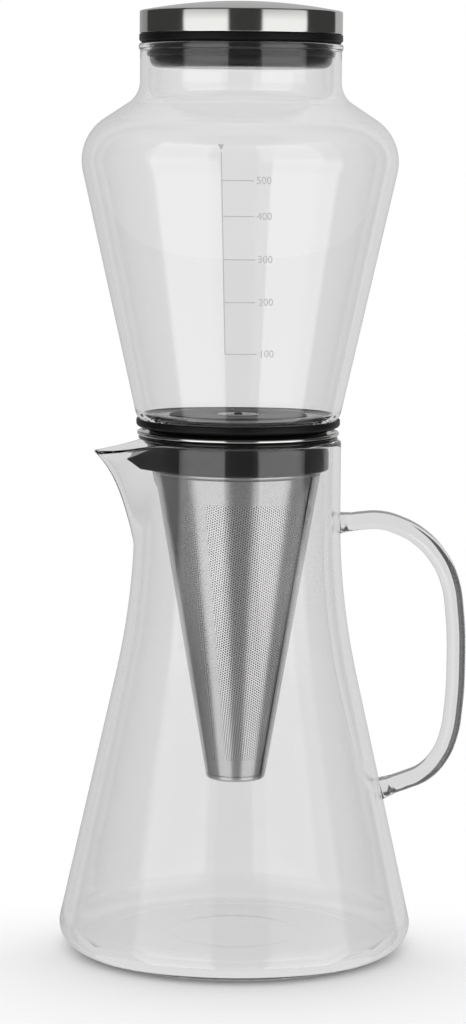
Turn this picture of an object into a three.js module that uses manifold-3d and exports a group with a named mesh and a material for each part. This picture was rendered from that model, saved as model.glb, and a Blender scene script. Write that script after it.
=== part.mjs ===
// Slow-drip cold brew coffee maker, in millimetres, +Z up, origin at the centre of the carafe's flat foot.
// A glass carafe with a spout and a rod handle carries a black filter holder in its mouth. A steel cone
// filter hangs in the holder, a tapered glass water chamber stands on the filter's lip with its drip
// valve under its floor, and a steel-capped stopper closes the chamber.
import * as THREE from "three";
import { mergeVertices } from "three/addons/utils/BufferGeometryUtils.js";
import Module from "manifold-3d";

const wasm = await Module();
wasm.setup();

// Fits and fineness shared by all pieces
const seatGap = 0.2; // between faces that rest on each other
const liftGap = 0.3; // round a piece that lifts out of another
const threadGap = 0.15; // round a threaded shank
const cutOverrun = 6; // how far a cutting body runs past what it cuts
const chordSag = 0.22; // how far a flat may cut into a rounded outline
const mergeDistance = 0.001;
const roundRoomShare = 0.98; // of a side, that a corner's rounding may take up
const bodySteps = 40;
const smallSteps = 20;
const carafeSteps = 48;

// Carafe
const carafeHeight = 185.3;
const carafeConeFootR = 66.2; // where the cone's line would meet the table
const carafeFootRound = 8;
const carafeNeckR = 37.3;
const carafeThroatShare = 0.695; // of the height, where the cone's line would meet the neck
const carafeThroatRound = 270;
const carafeWall = 2.2;
const carafeFloor = 5;
const carafeFloorRound = 12;

// Spout, pulled out of the neck towards -X
const spoutReach = 15.2; // of its tip past the neck
const spoutLength = 38; // down from the rim
const spoutDrop = 4.2; // of the rim at the tip
const spoutRise = 5.5; // height of one ring of the mesh
const spoutBowShare = 0.35; // of the reach that comes late, as the lip curls out
const spoutSpread = THREE.MathUtils.degToRad(46); // each side, over which the rim falls
const spoutTipTurn = THREE.MathUtils.degToRad(5); // each side, over which the tip is rounded

// Handle, a glass rod in the XZ plane
const handleRodR = 3.45;
const handleReach = 80.1; // of the rod's centre line from the axis
const handleLowShare = 0.3135; // of the carafe's height, where the rod joins at the bottom
const handleHighShare = 0.8402; // and at the top
const handleSides = 10;
const handleSteps = 26;
const handleCollarR = 4.4;
const handleCollarShare = 0.42; // a weld collar's half length, of its radius

// Places along the rod: how far out towards its reach, and how high between its two joints
const handleRouteShares = [
  [-0.04, 0.994],
  [0.17, 1.004],
  [0.34, 1.007],
  [0.5, 0.988],
  [0.68, 0.944],
  [0.83, 0.875],
  [0.933, 0.786],
  [0.984, 0.656],
  [1, 0.48],
  [0.984, 0.306],
  [0.946, 0.199],
  [0.869, 0.12],
  [0.741, 0.059],
  [0.577, 0.026],
  [0.42, 0.002],
  [0.2, -0.03],
];

// Filter holder, from its flange on the carafe's rim down into the neck
const holderFlange = 1.5;
const holderFlangeInset = 1.3; // of its edge from the neck's outside
const holderNeckGap = 2.2; // between its body and the neck's inside
const holderDepth = 10.4;
const holderStep = 1.5; // height of the step under the flange
const holderStepOut = 1.1;
const holderWall = 1.8;
const holderRound = 0.6;

// Beak of the holder, which reaches into the spout
const beakReach = 6.6; // of its tip past the body
const beakTipRise = 2.9; // of its tip above the body's lower edge
const beakKneeReach = 1.2; // how far its flat underside goes past the body
const beakBackRise = 3.3; // of its upper edge above the tip, where it meets the body

// Cone filter of thin sheet
const filterSheet = 0.8;
const filterMouthDepth = 9; // of the straight mouth inside the holder
const filterDepth = 123.9; // from the lip to the cone's lower edge
const filterEndR = 10.9;
const filterSeamTurn = THREE.MathUtils.degToRad(62); // from the front towards the handle
const filterSeamWidth = 4;
const filterSeamProud = 0.35;
const filterLipBeadR = 0.7;
const filterLipOut = 0.5; // of the rolled bead past the holder's flange
const filterCollarDepth = 4;
const filterCapDepth = 2.1;
const filterCapRound = 1.2;

// Chamber seat, a ring with a floor under the chamber and a spigot in the filter's mouth
const seatFloor = 2;
const seatNeck = 0.6; // of its neck above the filter's lip
const seatNeckSetIn = 4.4; // of the neck from the lip's edge
const seatRingOut = 0.3; // of the ring past the filter's lip
const seatRingRise = 1.8; // height of its slanted underside
const seatRingHeight = 4.6; // from the slant's foot to the ring's top
const seatRingRound = 1.3;
const seatSpigotDepth = 8;
const seatSpigotWall = 2;

// Water chamber
const chamberHeight = 136;
const chamberWall = 2;
const chamberFloor = 2.6;
const chamberFootInset = 0.65; // of its foot from the seat's edge
const chamberFootRound = 6;
const chamberFloorRound = 10; // inside, where the floor meets the wall
const chamberBellyR = 59; // where the taper's line would meet the shoulder's
const chamberBellyShare = 0.754; // of the height, for the same place
const chamberBellyRound = 18;
const chamberNeckR = 36;
const chamberNeckShare = 0.865; // of the height, where the shoulder's line would meet the neck
const chamberNeckRound = 9;
const chamberRimR = 36.5;
const chamberRimHeight = 2.6;

// Drip valve through the chamber's floor
const valveShankR = 5.5;
const valveShankLength = 16.5; // under the chamber's floor
const valveHeadR = 7.6;
const valveHead = 0.6;
const valveNubR = 1.5;
const valveNub = 0.7;
const valveOrificeR = 0.8;
const valveBoreR = 3.3;
const valveThroat = 3; // length of the orifice under the head's top
const valvePad = 1.2; // thickness of the silicone pad under the head, on the chamber's floor
const valvePadInset = 11.8; // of its edge from the seat's edge
const valvePadRecess = 0.7; // depth to which the head is let into it
const valveWasher = 1;
const valveWasherOut = 0.7; // past the head
const valveNutHeight = 4;
const valveNutOut = 3.2; // of its flats past the shank
const needleTipR = 0.5;
const needleTip = 3.4;
const needleGrooveShare = 0.6; // down the threaded part, where the O-ring's groove is
const ringSectionR = 0.42;
const needleStemR = 2;
const knobR = 10;
const knobHeight = 8;
const knobDrop = 0.6; // under the shank's end
const knobFlutes = 12;
const knobFluteShare = 0.06; // of its radius
const knobFluteSteps = 5;
const knobRecess = 1.8;
const screwR = 1;
const screwHeadR = 2.6;
const screwLength = 5;

// Stopper of the chamber
const lidGasket = 3;
const lidGasketOut = 0.35; // past the chamber's neck
const lidPlugGap = 1.4; // between the plug and the neck's inside
const lidPlugDepth = 8.5;
const lidPlugRound = 3.6;
const lidPlugGroove = 2.1; // depth of the gasket's groove
const lidPlugWall = 2.2; // of the plug, which is hollow under the cap
const lidSealHeight = 2;
const lidSealDrop = 2.4; // from the plug's top to the seal
const lidSealDeep = 1.3;
const lidCapInset = 0.15; // of the cap from the gasket's edge
const lidCapHeight = 8;
const lidCapDome = 3.6;
const lidCapRound = 0.9;
const lidCapWall = 0.8;
const lidCapSteps = 5;

// Helpers for outlines, given as corners [radius, height, rounding]

const unitTo = (from, to) => to.clone().sub(from).normalize();

// The points of an outline whose corners are rounded with arcs
function rounded(corners) {
  const places = corners.map(([r, z]) => new THREE.Vector2(r, z));
  const last = corners.length - 1;
  return corners.flatMap(([, , round = 0], i) => {
    const at = places[i];
    if (round <= 0 || i === 0 || i === last) return [at];
    const back = unitTo(at, places[i - 1]);
    const on = unitTo(at, places[i + 1]);
    const turn = Math.PI - back.angleTo(on);
    const room = roundRoomShare * Math.min(at.distanceTo(places[i - 1]), at.distanceTo(places[i + 1]));
    const radius = Math.min(round, room / Math.tan(turn / 2));
    const reach = radius * Math.tan(turn / 2);
    const start = at.clone().addScaledVector(back, reach);
    const middle = unitTo(at, at.clone().add(back).add(on));
    const centre = at.clone().addScaledVector(middle, radius / Math.cos(turn / 2));
    const stepTurn = 2 * Math.acos(Math.max(0, 1 - chordSag / radius));
    const steps = Math.ceil(turn / stepTurn);
    const side = Math.sign(on.cross(back));
    return Array.from({ length: steps + 1 }, (_, k) =>
      start.clone().rotateAround(centre, (side * turn * k) / steps),
    );
  });
}

// The same corners moved to the left of their direction by a depth, with their roundings to match
function inset(corners, depth) {
  const places = corners.map(([r, z]) => new THREE.Vector2(r, z));
  const edges = places.slice(1).map((to, i) => {
    const along = unitTo(places[i], to);
    const shift = new THREE.Vector2(-along.y, along.x).multiplyScalar(depth);
    return { along, from: places[i].clone().add(shift), to: to.clone().add(shift) };
  });
  return corners.map(([, , round = 0], i) => {
    if (i === 0) return [edges[0].from.x, edges[0].from.y];
    const before = edges[i - 1];
    if (i === edges.length) return [before.to.x, before.to.y];
    const after = edges[i];
    const turn = before.along.cross(after.along);
    const reach = after.from.clone().sub(before.from).cross(after.along) / turn;
    const at = before.from.clone().addScaledVector(before.along, reach);
    return [at.x, at.y, round > 0 ? Math.max(round - Math.sign(turn) * depth, 0) : 0];
  });
}

const closed = (corners) => [...corners, corners[0].slice(0, 2)];

// Helpers for solids

function solidOf(geometry) {
  const bare = geometry.clone();
  bare.deleteAttribute("normal");
  bare.deleteAttribute("uv");
  const merged = mergeVertices(bare, mergeDistance);
  return new wasm.Manifold(
    new wasm.Mesh({
      numProp: 3,
      vertProperties: merged.attributes.position.array,
      triVerts: new Uint32Array(merged.index.array),
    }),
  );
}

// A closed outline spun round the Z axis
function spunGeometry(points, steps) {
  const forward = THREE.ShapeUtils.area(points) > 0;
  const geometry = new THREE.LatheGeometry(forward ? points : points.slice().reverse(), steps);
  return geometry.rotateX(Math.PI / 2);
}

const spun = (corners, steps = bodySteps) => solidOf(spunGeometry(rounded(corners), steps));

// A flat outline of [x, y] pairs pushed up from a height
function prism(points, low, high) {
  const shape = new THREE.Shape(points.map(([x, y]) => new THREE.Vector2(x, y)));
  const geometry = new THREE.ExtrudeGeometry(shape, { depth: high - low, bevelEnabled: false });
  return solidOf(geometry.translate(0, 0, low));
}

function meshOf(name, solid, material) {
  const { vertProperties, triVerts } = solid.getMesh();
  const geometry = new THREE.BufferGeometry()
    .setAttribute("position", new THREE.BufferAttribute(new Float32Array(vertProperties), 3))
    .setIndex(new THREE.BufferAttribute(new Uint32Array(triVerts), 1));
  geometry.computeVertexNormals();
  const mesh = new THREE.Mesh(geometry, material);
  mesh.name = name;
  return mesh;
}

function groupAt(height, ...members) {
  const group = new THREE.Group();
  group.position.z = height;
  group.add(...members);
  return group;
}

// Materials
const glass = new THREE.MeshStandardMaterial({
  color: 0xe9edec,
  roughness: 0.03,
  metalness: 0,
  transparent: true,
  opacity: 0.35,
});
const steel = new THREE.MeshStandardMaterial({ color: 0xb9bab8, roughness: 0.28, metalness: 1 });
const polished = new THREE.MeshStandardMaterial({ color: 0xcfd0ce, roughness: 0.12, metalness: 1 });
const blackPlastic = new THREE.MeshStandardMaterial({ color: 0x1d1d1e, roughness: 0.3, metalness: 0 });
const silicone = new THREE.MeshStandardMaterial({ color: 0x232324, roughness: 0.6, metalness: 0 });

// Carafe: one closed outline, spun, whose neck is then drawn out into the spout
const carafeOutside = [
  [0, 0],
  [carafeConeFootR, 0, carafeFootRound],
  [carafeNeckR, carafeHeight * carafeThroatShare, carafeThroatRound],
  [carafeNeckR, carafeHeight],
];

function splitRings(points) {
  const foot = carafeHeight - spoutLength;
  return points.flatMap((at, i) => {
    const before = points[i - 1];
    if (!before || before.distanceTo(at) <= spoutRise) return [at];
    const low = Math.min(before.y, at.y);
    if (Math.max(before.y, at.y) <= foot) return [at];
    const bottom = Math.max(low, foot);
    const count = Math.ceil((Math.max(before.y, at.y) - bottom) / spoutRise);
    const heights = Array.from({ length: count + 1 }, (_, k) =>
      THREE.MathUtils.lerp(bottom, Math.max(before.y, at.y), k / count),
    );
    if (before.y > at.y) heights.reverse();
    const inner = heights.filter((z) => z > low + mergeDistance && z < Math.max(before.y, at.y));
    const place = (z) => before.clone().lerp(at, (z - before.y) / (at.y - before.y));
    return [...inner.map(place), at];
  });
}

// Moves one point of the neck: outwards along two walls that meet in the spout's tip, and down
function drawSpout(point) {
  const rise = (point.z - (carafeHeight - spoutLength)) / spoutLength;
  if (rise <= 0) return;
  const turn = Math.abs(Math.atan2(point.y, -point.x));
  const out = spoutReach * ((1 - spoutBowShare) * rise + spoutBowShare * rise ** 4);
  const wallTurn = Math.acos(carafeNeckR / (carafeNeckR + out));
  const eased = Math.hypot(turn, spoutTipTurn) - spoutTipTurn;
  if (eased < wallTurn) {
    const wall = carafeNeckR / Math.cos(wallTurn - eased) - carafeNeckR;
    const radius = Math.hypot(point.x, point.y);
    point.x *= (radius + wall) / radius;
    point.y *= (radius + wall) / radius;
  }
  point.z -= spoutDrop * rise ** 2 * (1 - THREE.MathUtils.smoothstep(turn, 0, spoutSpread));
}

function spoutedSolid(corners) {
  const geometry = spunGeometry(splitRings(rounded(corners)), carafeSteps);
  const position = geometry.attributes.position;
  const point = new THREE.Vector3();
  for (let i = 0; i < position.count; i += 1) {
    point.fromBufferAttribute(position, i);
    drawSpout(point);
    position.setXYZ(i, point.x, point.y, point.z);
  }
  return solidOf(geometry);
}

function carafeGlass() {
  const [, innerFoot, innerThroat, innerTop] = inset(carafeOutside, carafeWall);
  const share = (carafeFloor - innerFoot[1]) / (innerThroat[1] - innerFoot[1]);
  const floorR = THREE.MathUtils.lerp(innerFoot[0], innerThroat[0], share);
  const rimRound = carafeWall / 2;
  return spoutedSolid([
    ...carafeOutside.slice(0, -1),
    [carafeNeckR, carafeHeight, rimRound],
    [innerTop[0], carafeHeight, rimRound],
    innerThroat,
    [floorR, carafeFloor, carafeFloorRound],
    [0, carafeFloor],
  ]);
}

function carafeHandle() {
  const low = carafeHeight * handleLowShare;
  const high = carafeHeight * handleHighShare;
  const places = handleRouteShares.map(
    ([out, up]) =>
      new THREE.Vector3(
        THREE.MathUtils.lerp(carafeNeckR, handleReach, out),
        0,
        THREE.MathUtils.lerp(low, high, up),
      ),
  );
  const route = new THREE.CatmullRomCurve3(places, false, "centripetal");
  const section = new THREE.Shape().absarc(0, 0, handleRodR, 0, 2 * Math.PI);
  const rod = new THREE.ExtrudeGeometry(section, {
    steps: handleSteps,
    curveSegments: handleSides,
    extrudePath: route,
    bevelEnabled: false,
  });
  const coneLean = Math.atan2(
    carafeConeFootR - carafeNeckR,
    carafeHeight * carafeThroatShare,
  );
  const collar = (x, z, lean) => {
    const bead = new THREE.SphereGeometry(handleCollarR, handleSides, handleSides / 2);
    bead.scale(handleCollarShare, 1, 1).rotateY(-lean).translate(x, 0, z);
    return solidOf(bead);
  };
  const lowR = THREE.MathUtils.lerp(carafeConeFootR, carafeNeckR, handleLowShare / carafeThroatShare);
  const grown = inset([...carafeOutside, [0, carafeHeight]], -liftGap);
  return solidOf(rod)
    .add(collar(carafeNeckR + liftGap, high, 0))
    .add(collar(lowR + liftGap, low - handleRodR * Math.sin(coneLean), coneLean))
    .subtract(spun(grown, carafeSteps));
}

const carafe = groupAt(
  0,
  meshOf("carafe_glass", carafeGlass(), glass),
  meshOf("carafe_handle", carafeHandle(), glass),
);

// Filter holder: its own zero is the underside of its flange
const holderZ = carafeHeight + seatGap;
const holderFlangeR = carafeNeckR - holderFlangeInset;
const holderR = carafeNeckR - carafeWall - holderNeckGap;
const mouthR = holderR - holderWall - liftGap; // the filter's mouth, outside
const coneSlope = (mouthR - filterEndR) / (filterDepth - filterMouthDepth);

function filterHolder() {
  const bottom = -holderDepth;
  const blank = spun([
    [0, bottom],
    [holderR, bottom, holderRound],
    [holderR, -holderStep],
    [holderR + holderStepOut, -holderStep, holderRound],
    [holderR + holderStepOut, 0],
    [holderFlangeR, 0, holderFlange / 2],
    [holderFlangeR, holderFlange, holderFlange / 2],
    [0, holderFlange],
  ]);
  const tip = holderR + beakReach;
  const touch = Math.acos(holderR / tip);
  const side = [-holderR * Math.cos(touch), holderR * Math.sin(touch)];
  const plan = prism([[-tip, 0], [side[0], -side[1]], side], bottom, -holderStep);
  const tipZ = bottom + beakTipRise;
  const topRun = ((-holderStep - tipZ) / beakBackRise) * beakReach;
  const profile = [
    [-tip, tipZ],
    [-holderR - beakKneeReach, bottom],
    [side[0], bottom],
    [side[0], -holderStep],
    [Math.min(-tip + topRun, side[0]), -holderStep],
  ];
  const shape = new THREE.Shape(profile.map(([x, z]) => new THREE.Vector2(x, z)));
  const slab = new THREE.ExtrudeGeometry(shape, { depth: 2 * tip, bevelEnabled: false });
  slab.translate(0, 0, -tip).rotateX(Math.PI / 2);
  const drop = holderFlange + seatGap + filterMouthDepth;
  const boreR = (z) => mouthR + liftGap - Math.max(0, -z - drop + holderFlange + seatGap) * coneSlope;
  const bore = spun([
    [0, bottom - cutOverrun],
    [boreR(bottom - cutOverrun), bottom - cutOverrun],
    [boreR(0), -filterMouthDepth + holderFlange + seatGap],
    [boreR(0), holderFlange + cutOverrun],
    [0, holderFlange + cutOverrun],
  ]);
  return blank.add(plan.intersect(solidOf(slab))).subtract(bore);
}

const holder = groupAt(holderZ, meshOf("filter_holder", filterHolder(), blackPlastic));

// Filter: its own zero is the underside of its lip
const filterZ = holderZ + holderFlange + seatGap;
const lipR = holderFlangeR + filterLipOut;
const coneR = (z) => mouthR - Math.max(0, -z - filterMouthDepth) * coneSlope;

function filterRim() {
  const inner = mouthR - 2 * filterSheet - seatGap;
  return spun(
    closed([
      [inner, -filterCollarDepth],
      [inner + filterSheet, -filterCollarDepth],
      [inner + filterSheet, 0],
      [lipR, 0, filterLipBeadR],
      [lipR, 2 * filterLipBeadR, filterLipBeadR],
      [lipR - 2 * filterLipBeadR, 2 * filterLipBeadR, filterLipBeadR],
      [lipR - 2 * filterLipBeadR, filterSheet],
      [inner, filterSheet, filterSheet],
    ]),
  );
}

function filterCone() {
  const top = -seatGap;
  const sheet = spun(
    closed([
      [filterEndR - filterSheet, -filterDepth],
      [filterEndR, -filterDepth],
      [mouthR, -filterMouthDepth],
      [mouthR, top],
      [mouthR - filterSheet, top],
      [mouthR - filterSheet, -filterMouthDepth],
    ]),
  );
  const high = -holderDepth - holderFlange - 2 * seatGap;
  const middle = (high - filterDepth) / 2;
  const slant = Math.atan(coneSlope);
  const length = (high + filterDepth) / Math.cos(slant);
  const strip = new THREE.BoxGeometry(filterSheet + filterSeamProud, filterSeamWidth, length);
  strip.translate((filterSeamProud - filterSheet) / 2, 0, 0).rotateY(slant);
  strip.translate(coneR(middle), 0, middle).rotateZ(filterSeamTurn - Math.PI / 2);
  return sheet.add(solidOf(strip));
}

function filterBottom() {
  const low = -filterDepth - filterCapDepth;
  const capR = filterEndR - filterCapDepth * coneSlope;
  const wall = filterSheet;
  return spun(
    [
      [0, low],
      [capR, low, filterCapRound],
      [filterEndR, -filterDepth - seatGap],
      [filterEndR - wall, -filterDepth - seatGap],
      [capR - wall, low + wall, filterCapRound - wall],
      [0, low + wall],
    ],
    smallSteps,
  );
}

const filter = groupAt(
  filterZ,
  meshOf("filter_rim", filterRim(), polished),
  meshOf("filter_cone", filterCone(), steel),
  meshOf("filter_bottom", filterBottom(), steel),
);

// Chamber unit: its own zero is where the seat's neck rests on the filter's lip
const chamberZ = filterZ + filterSheet + seatGap;
const seatR = lipR + seatRingOut;
const seatFloorTop = seatNeck + seatFloor;
const glassZ = seatFloorTop + seatGap;
const glassFloorTop = glassZ + chamberFloor;
const glassTop = glassZ + chamberHeight;
const glassHoleR = valveShankR + liftGap;

const chamberOutside = [
  [0, glassZ],
  [seatR - chamberFootInset, glassZ, chamberFootRound],
  [chamberBellyR, glassZ + chamberHeight * chamberBellyShare, chamberBellyRound],
  [chamberNeckR, glassZ + chamberHeight * chamberNeckShare, chamberNeckRound],
  [chamberNeckR, glassTop],
];

function chamberGlass() {
  const [, innerFoot, innerBelly, innerNeck, innerTop] = inset(chamberOutside, chamberWall);
  const share = (glassFloorTop - innerFoot[1]) / (innerBelly[1] - innerFoot[1]);
  const floorR = THREE.MathUtils.lerp(innerFoot[0], innerBelly[0], share);
  const rimRound = chamberWall / 2;
  return spun(
    closed([
      [glassHoleR, glassZ],
      ...chamberOutside.slice(1, -1),
      [chamberNeckR, glassTop - chamberRimHeight],
      [chamberRimR, glassTop - chamberRimHeight / 2, rimRound],
      [chamberRimR, glassTop, rimRound],
      [innerTop[0], glassTop, rimRound],
      innerNeck,
      innerBelly,
      [floorR, glassFloorTop, chamberFloorRound],
      [glassHoleR, glassFloorTop],
    ]),
  );
}

function chamberSeat() {
  const spigotR = mouthR - 2 * filterSheet - seatGap - liftGap;
  const neckR = lipR - seatNeckSetIn;
  const blank = spun(
    closed([
      [valveShankR + liftGap, seatNeck],
      [spigotR - seatSpigotWall, seatNeck],
      [spigotR - seatSpigotWall, -seatSpigotDepth],
      [spigotR, -seatSpigotDepth, seatSpigotWall / 2],
      [spigotR, 0],
      [neckR, 0],
      [neckR, seatNeck],
      [seatR, seatNeck + seatRingRise, seatRingRound],
      [seatR, seatNeck + seatRingHeight, seatRingRound],
      [neckR, seatNeck + seatRingHeight],
      [valveShankR + liftGap, seatNeck + seatRingHeight],
    ]),
  );
  return blank.subtract(spun(inset(chamberOutside.slice(0, 3), -seatGap).concat([[0, glassTop]])));
}

// Valve pieces, on the same zero as the chamber unit
const padZ = glassFloorTop + seatGap;
const recessFloorZ = padZ + valvePad - valvePadRecess;
const headZ = recessFloorZ + seatGap;
const shankEnd = seatNeck - valveShankLength;
const shankHole = valveShankR + threadGap;

function valveBody() {
  const top = headZ + valveHead;
  return spun(
    closed([
      [valveBoreR, shankEnd],
      [valveShankR, shankEnd, threadGap],
      [valveShankR, headZ],
      [valveHeadR, headZ],
      [valveHeadR, top, valveHead / 2],
      [valveNubR, top],
      [valveNubR, top + valveNub],
      [valveOrificeR, top + valveNub],
      [valveOrificeR, top - valveThroat],
      [valveBoreR, top - valveThroat - valveBoreR + valveOrificeR],
    ]),
    smallSteps,
  );
}

function ringPlate(innerR, outerR, low, high) {
  return spun(
    closed([
      [innerR, low],
      [outerR, low],
      [outerR, high],
      [innerR, high],
    ]),
    smallSteps,
  );
}

function inletPad() {
  const padR = seatR - valvePadInset;
  const recessR = valveHeadR + liftGap;
  return spun(
    closed([
      [shankHole, padZ],
      [padR, padZ],
      [padR, padZ + valvePad, valvePad / 2],
      [recessR, padZ + valvePad],
      [recessR, recessFloorZ],
      [shankHole, recessFloorZ],
    ]),
  );
}

const washerR = valveHeadR + valveWasherOut;
const underWasherZ = seatNeck - seatGap - valveWasher;
const nutZ = underWasherZ - seatGap - valveNutHeight;

function valveNut() {
  const across = valveShankR + valveNutOut;
  const corner = across / Math.cos(Math.PI / 6);
  const hex = Array.from({ length: 6 }, (_, k) => [
    corner * Math.cos((k * Math.PI) / 3),
    corner * Math.sin((k * Math.PI) / 3),
  ]);
  const hole = ringPlate(0, shankHole, nutZ - cutOverrun, nutZ + valveNutHeight + cutOverrun);
  return prism(hex, nutZ, nutZ + valveNutHeight).subtract(hole);
}

// Needle: its threaded part fills the bore, and its tip stands in the orifice
const needleR = valveBoreR - threadGap;
const tipFoot = headZ + valveHead - valveThroat - valveBoreR + valveOrificeR - seatGap;
const threadLength = tipFoot - shankEnd;
const grooveZ = tipFoot - threadLength * needleGrooveShare;
const knobTop = shankEnd - knobDrop;
const recessZ = knobTop - knobHeight + knobRecess;

function valveNeedle() {
  const grooveHalf = ringSectionR + threadGap;
  const grooveR = needleR - 2 * ringSectionR;
  const stemEnd = recessZ + seatGap;
  const stem = spun(
    [
      [0, stemEnd],
      [needleStemR, stemEnd],
      [needleStemR, shankEnd],
      [needleR, shankEnd],
      [needleR, grooveZ - grooveHalf],
      [grooveR, grooveZ - grooveHalf],
      [grooveR, grooveZ + grooveHalf],
      [needleR, grooveZ + grooveHalf],
      [needleR, tipFoot],
      [needleTipR, tipFoot + needleR - needleTipR],
      [0, tipFoot + needleR - needleTipR + needleTip / 2],
    ],
    smallSteps,
  );
  const holeR = screwR + threadGap;
  return stem.subtract(ringPlate(0, holeR, stemEnd - cutOverrun, stemEnd + screwLength + seatGap));
}

function valveORing() {
  const centre = needleR - 2 * ringSectionR + seatGap / 2 + ringSectionR;
  const half = ringSectionR;
  return spun(
    closed([
      [centre, grooveZ - half],
      [centre + half, grooveZ - half, half],
      [centre + half, grooveZ + half, half],
      [centre - half, grooveZ + half, half],
      [centre - half, grooveZ - half, half],
    ]),
    smallSteps,
  );
}

function valveKnob() {
  const count = knobFlutes * knobFluteSteps;
  const rim = Array.from({ length: count }, (_, k) => {
    const turn = (2 * Math.PI * k) / count;
    const radius = knobR * (1 - knobFluteShare * (0.5 + 0.5 * Math.cos(knobFlutes * turn)));
    return [radius * Math.cos(turn), radius * Math.sin(turn)];
  });
  const bottom = knobTop - knobHeight;
  const stemHole = ringPlate(0, needleStemR + threadGap, recessZ + seatGap, knobTop + cutOverrun);
  const screwHole = ringPlate(0, screwR + threadGap, bottom - cutOverrun, knobTop);
  const recess = ringPlate(0, screwHeadR + threadGap, bottom - cutOverrun, recessZ - seatGap);
  return prism(rim, bottom, knobTop).subtract(stemHole).subtract(screwHole).subtract(recess);
}

function valveKnobScrew() {
  const head = recessZ - 2 * seatGap;
  const top = recessZ + screwLength;
  const low = knobTop - knobHeight + seatGap;
  return spun(
    [
      [0, low],
      [screwHeadR, low],
      [screwHeadR, head],
      [screwR, head],
      [screwR, top],
      [0, top],
    ],
    smallSteps,
  );
}

const chamber = groupAt(
  chamberZ,
  meshOf("chamber_seat", chamberSeat(), silicone),
  meshOf("chamber_glass", chamberGlass(), glass),
  meshOf("valve_inlet_washer", inletPad(), silicone),
  meshOf("valve_body", valveBody(), blackPlastic),
  meshOf("valve_under_washer", ringPlate(shankHole, washerR, underWasherZ, underWasherZ + valveWasher), silicone),
  meshOf("valve_nut", valveNut(), blackPlastic),
  meshOf("valve_needle", valveNeedle(), steel),
  meshOf("valve_o_ring", valveORing(), silicone),
  meshOf("valve_knob", valveKnob(), blackPlastic),
  meshOf("valve_knob_screw", valveKnobScrew(), steel),
);

// Stopper: its own zero is the underside of its gasket, just above the chamber's rim
const lidZ = chamberZ + glassTop + seatGap;
const gasketR = chamberNeckR + lidGasketOut;
const plugR = chamberNeckR - chamberWall - lidPlugGap;
const capR = gasketR - lidCapInset;
const capZ = lidGasket + seatGap;
const plugHeadTop = capZ + lidCapHeight - lidCapWall - seatGap;

function lidPlug() {
  const grooveTop = -seatGap - lidSealDrop;
  const grooveLow = grooveTop - lidSealHeight - 2 * seatGap;
  const hollowR = plugR - lidPlugGroove - lidPlugWall;
  return spun([
    [0, -lidPlugDepth],
    [plugR, -lidPlugDepth, lidPlugRound],
    [plugR, grooveLow],
    [plugR - lidSealDeep, grooveLow],
    [plugR - lidSealDeep, grooveTop],
    [plugR, grooveTop],
    [plugR, -seatGap],
    [plugR - lidPlugGroove, -seatGap],
    [plugR - lidPlugGroove, capZ],
    [capR - lidCapWall - seatGap, capZ],
    [capR - lidCapWall - seatGap, plugHeadTop],
    [hollowR, plugHeadTop],
    [hollowR, lidPlugWall - lidPlugDepth],
    [0, lidPlugWall - lidPlugDepth],
  ]);
}

function lidSeal() {
  const high = -2 * seatGap - lidSealDrop;
  const outer = plugR + lidPlugGap - liftGap;
  return spun(
    closed([
      [plugR - lidSealDeep + seatGap, high - lidSealHeight],
      [outer, high - lidSealHeight, lidSealHeight / 2],
      [outer, high, lidSealHeight / 2],
      [plugR - lidSealDeep + seatGap, high],
    ]),
  );
}

function lidGasketRing() {
  return spun(
    closed([
      [plugR - lidPlugGroove + seatGap, 0],
      [gasketR - lidCapWall, 0],
      [gasketR, lidCapWall],
      [gasketR, lidGasket],
      [plugR - lidPlugGroove + seatGap, lidGasket],
    ]),
  );
}

// The cap's domed top falls with the square of the distance from its middle
function lidCap() {
  const dome = (reach, top) =>
    Array.from({ length: lidCapSteps + 1 }, (_, k) => {
      const share = k / lidCapSteps;
      return [reach * share, top - lidCapDome * share ** 2];
    });
  const side = capZ + lidCapHeight;
  const innerR = capR - lidCapWall;
  const outside = dome(capR, side + lidCapDome).slice(0, -1).reverse();
  return spun([
    ...dome(innerR, side + lidCapDome - lidCapWall),
    [innerR, capZ],
    [capR, capZ],
    [capR, side, lidCapRound],
    ...outside,
  ]);
}

const lid = groupAt(
  lidZ,
  meshOf("lid_gasket", lidGasketRing(), silicone),
  meshOf("lid_plug", lidPlug(), blackPlastic),
  meshOf("lid_seal", lidSeal(), silicone),
  meshOf("lid_cap", lidCap(), polished),
);

const coffeeMaker = new THREE.Group();
coffeeMaker.add(carafe, holder, filter, chamber, lid);

export default coffeeMaker;
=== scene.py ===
# Slow-drip cold brew coffee maker, dressed for its picture. Every size is in millimetres, on the packed
# model's own axes: +Z up, +X towards the handle, -X towards the spout, -Y towards the camera.
import math

import bmesh
import bpy
from mathutils import Matrix, Vector


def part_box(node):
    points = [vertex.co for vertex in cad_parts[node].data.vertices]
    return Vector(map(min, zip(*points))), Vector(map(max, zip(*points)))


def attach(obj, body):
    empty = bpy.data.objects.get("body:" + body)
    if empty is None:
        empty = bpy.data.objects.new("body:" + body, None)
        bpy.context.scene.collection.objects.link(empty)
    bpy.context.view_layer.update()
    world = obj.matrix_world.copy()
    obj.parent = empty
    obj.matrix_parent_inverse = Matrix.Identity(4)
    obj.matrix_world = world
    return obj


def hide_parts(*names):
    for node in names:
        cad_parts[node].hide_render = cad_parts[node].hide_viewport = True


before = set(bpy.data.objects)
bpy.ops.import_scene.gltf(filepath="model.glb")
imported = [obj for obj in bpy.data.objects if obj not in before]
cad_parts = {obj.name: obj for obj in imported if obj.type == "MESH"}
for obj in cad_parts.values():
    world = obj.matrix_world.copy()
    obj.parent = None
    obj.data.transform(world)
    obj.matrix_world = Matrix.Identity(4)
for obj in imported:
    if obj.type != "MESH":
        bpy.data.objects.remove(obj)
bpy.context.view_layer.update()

MM = 0.001
WHITE = (1, 1, 1, 1)


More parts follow.
